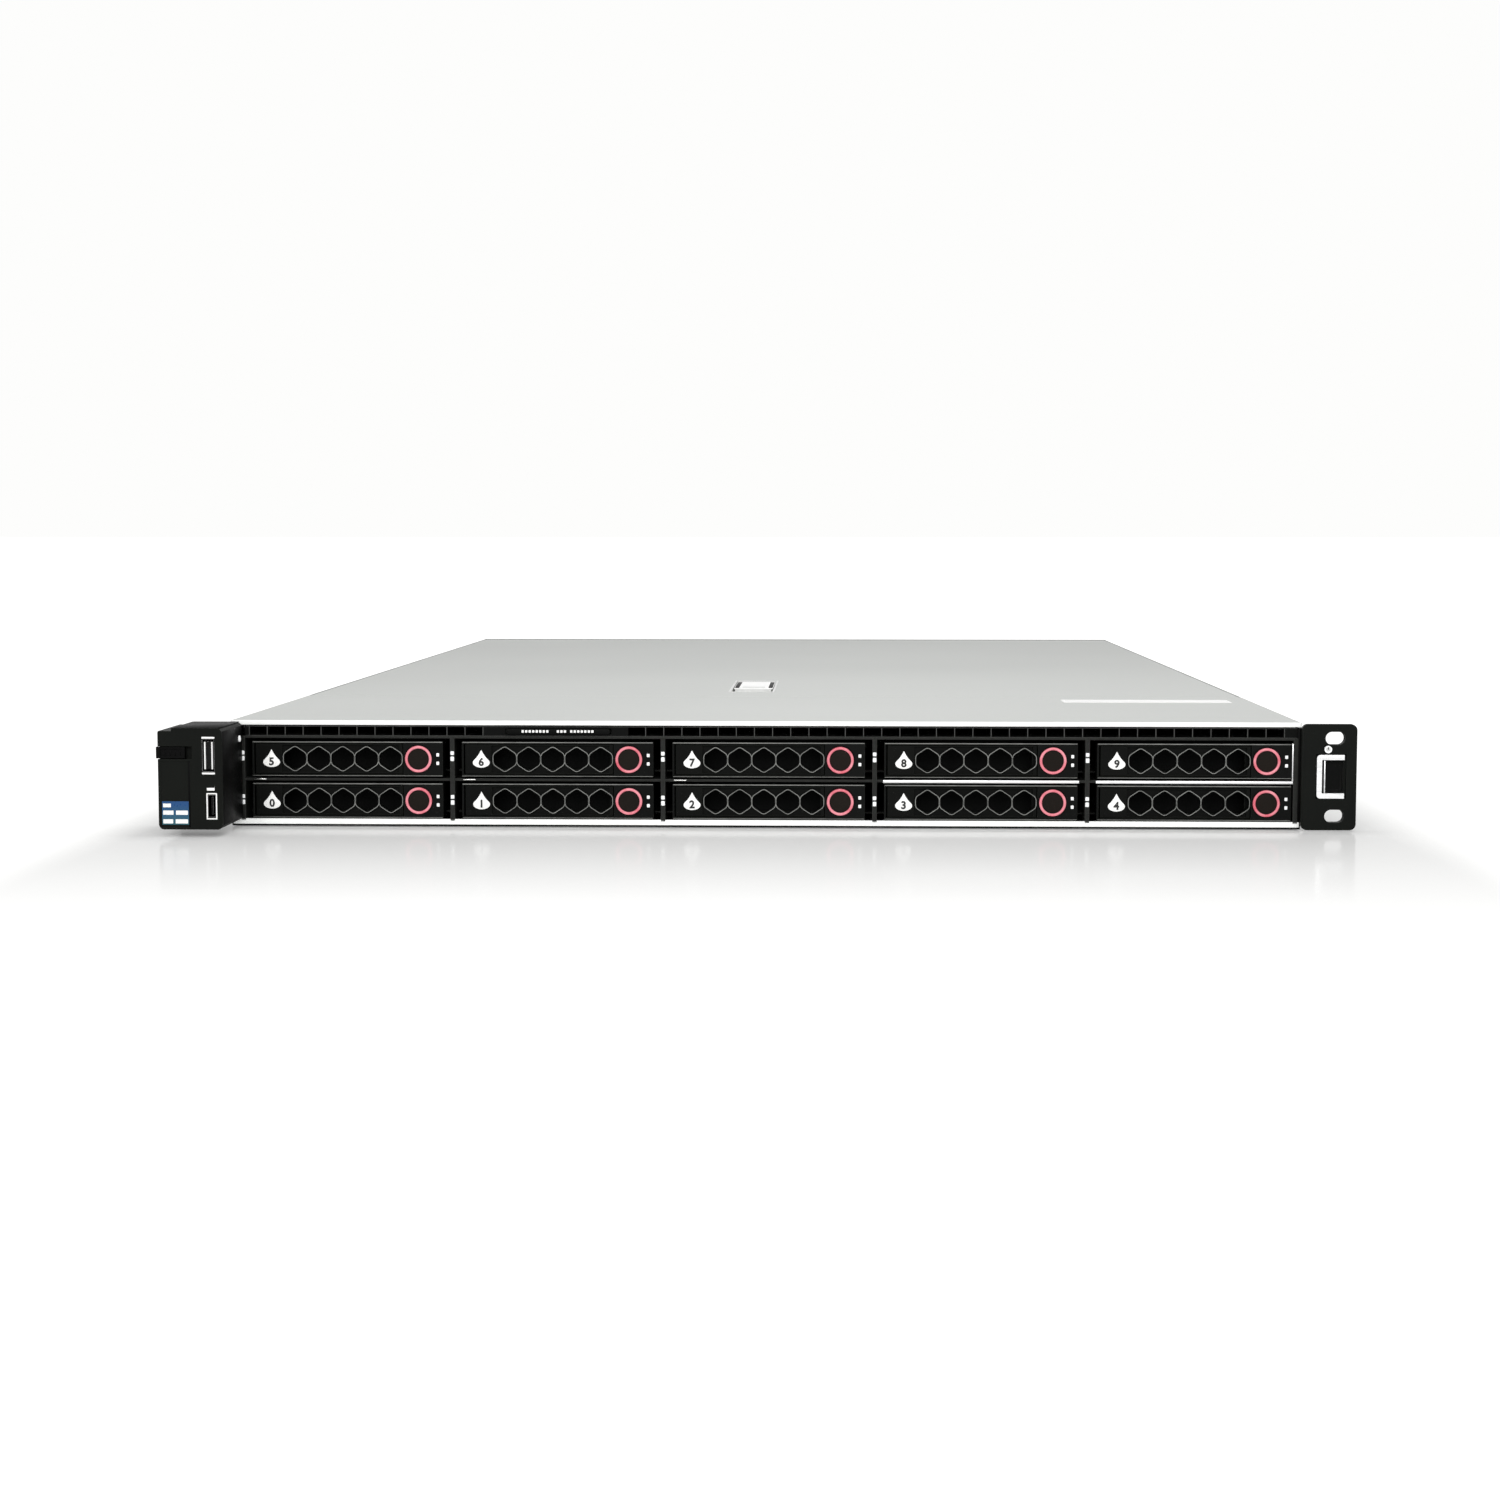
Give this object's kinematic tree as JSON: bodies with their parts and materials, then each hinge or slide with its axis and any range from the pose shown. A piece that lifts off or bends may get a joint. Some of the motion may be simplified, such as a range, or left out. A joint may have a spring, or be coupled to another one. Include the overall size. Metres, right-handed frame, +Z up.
{
  "type": "1u rack server",
  "caption": "Flat 1U rack-mount server with two rows of front drive sleds, mounting ears, sliding lid, fans, boards and plug-in power supplies.",
  "frame": {"origin": "middle of the base: half way between the outer edges of the ears, half way from the face of the left ear to the power supply grips, on the underside", "axes": "+X to the right of someone facing the front, +Y back into the rack, +Z up; the front faces -Y"},
  "size_m": [0.4826, 0.845, 0.0436],
  "materials": {
    "zinc_steel": "galvanised sheet, fine spangle",
    "cover_paint": "pale grey satin paint",
    "black_abs": "fine moulded texture, black",
    "lever_plastic": "black moulded plastic, light grey rib edges",
    "ring_plastic": "black face in a red-pink ring",
    "socket_steel": "nickel-plated socket shells",
    "bright_trim": "bright satin",
    "bracket_steel": "black powder coat on steel",
    "board_green": "solder mask on glass-fibre board",
    "sink_aluminium": "extruded fins",
    "memory_board": "solder mask with black chips",
    "fan_plastic": "black glass-filled plastic",
    "psu_steel": "plated sheet steel",
    "latch_plastic": "brick-red touch-point plastic",
    "port_shell": "tinned shields",
    "zinc_screws": "bright zinc plate",
    "pale_latch": "pale grey moulded plastic"
  },
  "bodies": {
    "root": {"chassis_tray": "zinc_steel", "drive_cage": "zinc_steel", "vent_strip": "black_abs", "front_cover": "cover_paint", "ear_brackets": "bracket_steel", "left_ear": "black_abs", "front_ports": "socket_steel", "right_ear": "black_abs", "backplane": "board_green", "fan_frames": "fan_plastic", "motherboard": "board_green", "heatsinks": "sink_aluminium", "memory_modules": "memory_board", "rear_ports": "port_shell", "fasteners": "zinc_screws"},
    "drive_0": {"drive_carrier_0": "black_abs"},
    "lever_0": {"drive_lever_0": "lever_plastic"},
    "button_0": {"drive_button_0": "ring_plastic"},
    "drive_1": {"drive_carrier_1": "black_abs"},
    "lever_1": {"drive_lever_1": "lever_plastic"},
    "button_1": {"drive_button_1": "ring_plastic"},
    "drive_2": {"drive_carrier_2": "black_abs"},
    "lever_2": {"drive_lever_2": "lever_plastic"},
    "button_2": {"drive_button_2": "ring_plastic"},
    "drive_3": {"drive_carrier_3": "black_abs"},
    "lever_3": {"drive_lever_3": "lever_plastic"},
    "button_3": {"drive_button_3": "ring_plastic"},
    "drive_4": {"drive_carrier_4": "black_abs"},
    "lever_4": {"drive_lever_4": "lever_plastic"},
    "button_4": {"drive_button_4": "ring_plastic"},
    "drive_5": {"drive_carrier_5": "black_abs"},
    "lever_5": {"drive_lever_5": "lever_plastic"},
    "button_5": {"drive_button_5": "ring_plastic"},
    "drive_6": {"drive_carrier_6": "black_abs"},
    "lever_6": {"drive_lever_6": "lever_plastic"},
    "button_6": {"drive_button_6": "ring_plastic"},
    "drive_7": {"drive_carrier_7": "black_abs"},
    "lever_7": {"drive_lever_7": "lever_plastic"},
    "button_7": {"drive_button_7": "ring_plastic"},
    "drive_8": {"drive_carrier_8": "black_abs"},
    "lever_8": {"drive_lever_8": "lever_plastic"},
    "button_8": {"drive_button_8": "ring_plastic"},
    "drive_9": {"drive_carrier_9": "black_abs"},
    "lever_9": {"drive_lever_9": "lever_plastic"},
    "button_9": {"drive_button_9": "ring_plastic"},
    "info_tag": {"info_tag": "black_abs"},
    "top_cover": {"top_cover": "cover_paint"},
    "cover_latch": {"cover_latch": "pale_latch"},
    "release_catch": {"left_release_catch": "black_abs"},
    "release_bail": {"right_release_lever": "bright_trim"},
    "power_button": {"power_button": "pale_latch"},
    "fan_1": {"fan_rotor_1": "fan_plastic"},
    "fan_2": {"fan_rotor_2": "fan_plastic"},
    "fan_3": {"fan_rotor_3": "fan_plastic"},
    "fan_4": {"fan_rotor_4": "fan_plastic"},
    "fan_5": {"fan_rotor_5": "fan_plastic"},
    "psu_1": {"psu_1": "psu_steel"},
    "psu_latch_1": {"psu_latch_1": "latch_plastic"},
    "psu_2": {"psu_2": "psu_steel"},
    "psu_latch_2": {"psu_latch_2": "latch_plastic"}
  },
  "joints": [
    {"name": "tag_pull", "type": "slide", "parent": "root", "child": "info_tag", "axis": [0, -1, 0], "range_m": [0, 0.045]},
    {"name": "cover_slide", "type": "slide", "parent": "root", "child": "top_cover", "axis": [0, 1, 0], "range_m": [0, 0.012]},
    {"name": "latch_lift", "type": "hinge", "parent": "top_cover", "child": "cover_latch", "pos_m": [-0.01085, -0.1095, 0.0415], "axis": [-1, 0, 0], "range_deg": [0, 60]},
    {"name": "catch_slide", "type": "slide", "parent": "root", "child": "release_catch", "axis": [1, 0, 0], "range_m": [0, 0.0025], "stiffness_N_per_m": 400},
    {"name": "bail_swing", "type": "hinge", "parent": "root", "child": "release_bail", "pos_m": [0.2352, -0.3898, 0.0223], "axis": [0, 0, 1], "range_deg": [0, 75]},
    {"name": "power_push", "type": "slide", "parent": "root", "child": "power_button", "axis": [0, 1, 0], "range_m": [0, 0.0007], "stiffness_N_per_m": 500},
    {"name": "fan_spin_1", "type": "hinge", "parent": "root", "child": "fan_1", "pos_m": [-0.172, -0.0585, 0.0214], "axis": [0, 1, 0], "continuous": true},
    {"name": "fan_spin_2", "type": "hinge", "parent": "root", "child": "fan_2", "pos_m": [-0.086, -0.0585, 0.0214], "axis": [0, 1, 0], "continuous": true},
    {"name": "fan_spin_3", "type": "hinge", "parent": "root", "child": "fan_3", "pos_m": [0, -0.0585, 0.0214], "axis": [0, 1, 0], "continuous": true},
    {"name": "fan_spin_4", "type": "hinge", "parent": "root", "child": "fan_4", "pos_m": [0.086, -0.0585, 0.0214], "axis": [0, 1, 0], "continuous": true},
    {"name": "fan_spin_5", "type": "hinge", "parent": "root", "child": "fan_5", "pos_m": [0.172, -0.0585, 0.0214], "axis": [0, 1, 0], "continuous": true},
    {"name": "psu_slide_1", "type": "slide", "parent": "root", "child": "psu_1", "axis": [0, 1, 0], "range_m": [0, 0.18]},
    {"name": "psu_latch_press_1", "type": "slide", "parent": "psu_1", "child": "psu_latch_1", "axis": [-1, 0, 0], "range_m": [0, 0.0012], "stiffness_N_per_m": 800},
    {"name": "psu_slide_2", "type": "slide", "parent": "root", "child": "psu_2", "axis": [0, 1, 0], "range_m": [0, 0.18]},
    {"name": "psu_latch_press_2", "type": "slide", "parent": "psu_2", "child": "psu_latch_2", "axis": [-1, 0, 0], "range_m": [0, 0.0012], "stiffness_N_per_m": 800},
    {"name": "drive_slide_0", "type": "slide", "parent": "root", "child": "drive_0", "axis": [0, -1, 0], "range_m": [0, 0.11]},
    {"name": "lever_swing_0", "type": "hinge", "parent": "drive_0", "child": "lever_0", "pos_m": [-0.2085, -0.3843, 0.01055], "axis": [0, 0, -1], "range_deg": [0, 50]},
    {"name": "button_push_0", "type": "slide", "parent": "drive_0", "child": "button_0", "axis": [0, 1, 0], "range_m": [0, 0.0012], "stiffness_N_per_m": 600},
    {"name": "drive_slide_1", "type": "slide", "parent": "root", "child": "drive_1", "axis": [0, -1, 0], "range_m": [0, 0.11]},
    {"name": "lever_swing_1", "type": "hinge", "parent": "drive_1", "child": "lever_1", "pos_m": [-0.1216, -0.3843, 0.01055], "axis": [0, 0, -1], "range_deg": [0, 50]},
    {"name": "button_push_1", "type": "slide", "parent": "drive_1", "child": "button_1", "axis": [0, 1, 0], "range_m": [0, 0.0012], "stiffness_N_per_m": 600},
    {"name": "drive_slide_2", "type": "slide", "parent": "root", "child": "drive_2", "axis": [0, -1, 0], "range_m": [0, 0.11]},
    {"name": "lever_swing_2", "type": "hinge", "parent": "drive_2", "child": "lever_2", "pos_m": [-0.0347, -0.3843, 0.01055], "axis": [0, 0, -1], "range_deg": [0, 50]},
    {"name": "button_push_2", "type": "slide", "parent": "drive_2", "child": "button_2", "axis": [0, 1, 0], "range_m": [0, 0.0012], "stiffness_N_per_m": 600},
    {"name": "drive_slide_3", "type": "slide", "parent": "root", "child": "drive_3", "axis": [0, -1, 0], "range_m": [0, 0.11]},
    {"name": "lever_swing_3", "type": "hinge", "parent": "drive_3", "child": "lever_3", "pos_m": [0.0522, -0.3843, 0.01055], "axis": [0, 0, -1], "range_deg": [0, 50]},
    {"name": "button_push_3", "type": "slide", "parent": "drive_3", "child": "button_3", "axis": [0, 1, 0], "range_m": [0, 0.0012], "stiffness_N_per_m": 600},
    {"name": "drive_slide_4", "type": "slide", "parent": "root", "child": "drive_4", "axis": [0, -1, 0], "range_m": [0, 0.11]},
    {"name": "lever_swing_4", "type": "hinge", "parent": "drive_4", "child": "lever_4", "pos_m": [0.1391, -0.3843, 0.01055], "axis": [0, 0, -1], "range_deg": [0, 50]},
    {"name": "button_push_4", "type": "slide", "parent": "drive_4", "child": "button_4", "axis": [0, 1, 0], "range_m": [0, 0.0012], "stiffness_N_per_m": 600},
    {"name": "drive_slide_5", "type": "slide", "parent": "root", "child": "drive_5", "axis": [0, -1, 0], "range_m": [0, 0.11]},
    {"name": "lever_swing_5", "type": "hinge", "parent": "drive_5", "child": "lever_5", "pos_m": [-0.2085, -0.3843, 0.0278], "axis": [0, 0, -1], "range_deg": [0, 50]},
    {"name": "button_push_5", "type": "slide", "parent": "drive_5", "child": "button_5", "axis": [0, 1, 0], "range_m": [0, 0.0012], "stiffness_N_per_m": 600},
    {"name": "drive_slide_6", "type": "slide", "parent": "root", "child": "drive_6", "axis": [0, -1, 0], "range_m": [0, 0.11]},
    {"name": "lever_swing_6", "type": "hinge", "parent": "drive_6", "child": "lever_6", "pos_m": [-0.1216, -0.3843, 0.0278], "axis": [0, 0, -1], "range_deg": [0, 50]},
    {"name": "button_push_6", "type": "slide", "parent": "drive_6", "child": "button_6", "axis": [0, 1, 0], "range_m": [0, 0.0012], "stiffness_N_per_m": 600},
    {"name": "drive_slide_7", "type": "slide", "parent": "root", "child": "drive_7", "axis": [0, -1, 0], "range_m": [0, 0.11]},
    {"name": "lever_swing_7", "type": "hinge", "parent": "drive_7", "child": "lever_7", "pos_m": [-0.0347, -0.3843, 0.0278], "axis": [0, 0, -1], "range_deg": [0, 50]},
    {"name": "button_push_7", "type": "slide", "parent": "drive_7", "child": "button_7", "axis": [0, 1, 0], "range_m": [0, 0.0012], "stiffness_N_per_m": 600},
    {"name": "drive_slide_8", "type": "slide", "parent": "root", "child": "drive_8", "axis": [0, -1, 0], "range_m": [0, 0.11]},
    {"name": "lever_swing_8", "type": "hinge", "parent": "drive_8", "child": "lever_8", "pos_m": [0.0522, -0.3843, 0.0278], "axis": [0, 0, -1], "range_deg": [0, 50]},
    {"name": "button_push_8", "type": "slide", "parent": "drive_8", "child": "button_8", "axis": [0, 1, 0], "range_m": [0, 0.0012], "stiffness_N_per_m": 600},
    {"name": "drive_slide_9", "type": "slide", "parent": "root", "child": "drive_9", "axis": [0, -1, 0], "range_m": [0, 0.11]},
    {"name": "lever_swing_9", "type": "hinge", "parent": "drive_9", "child": "lever_9", "pos_m": [0.1391, -0.3843, 0.0278], "axis": [0, 0, -1], "range_deg": [0, 50]},
    {"name": "button_push_9", "type": "slide", "parent": "drive_9", "child": "button_9", "axis": [0, 1, 0], "range_m": [0, 0.0012], "stiffness_N_per_m": 600}
  ],
  "couplings": [
    {"joint": "latch_lift", "follows": "cover_slide", "rad_per_m": 87.266}
  ]
}
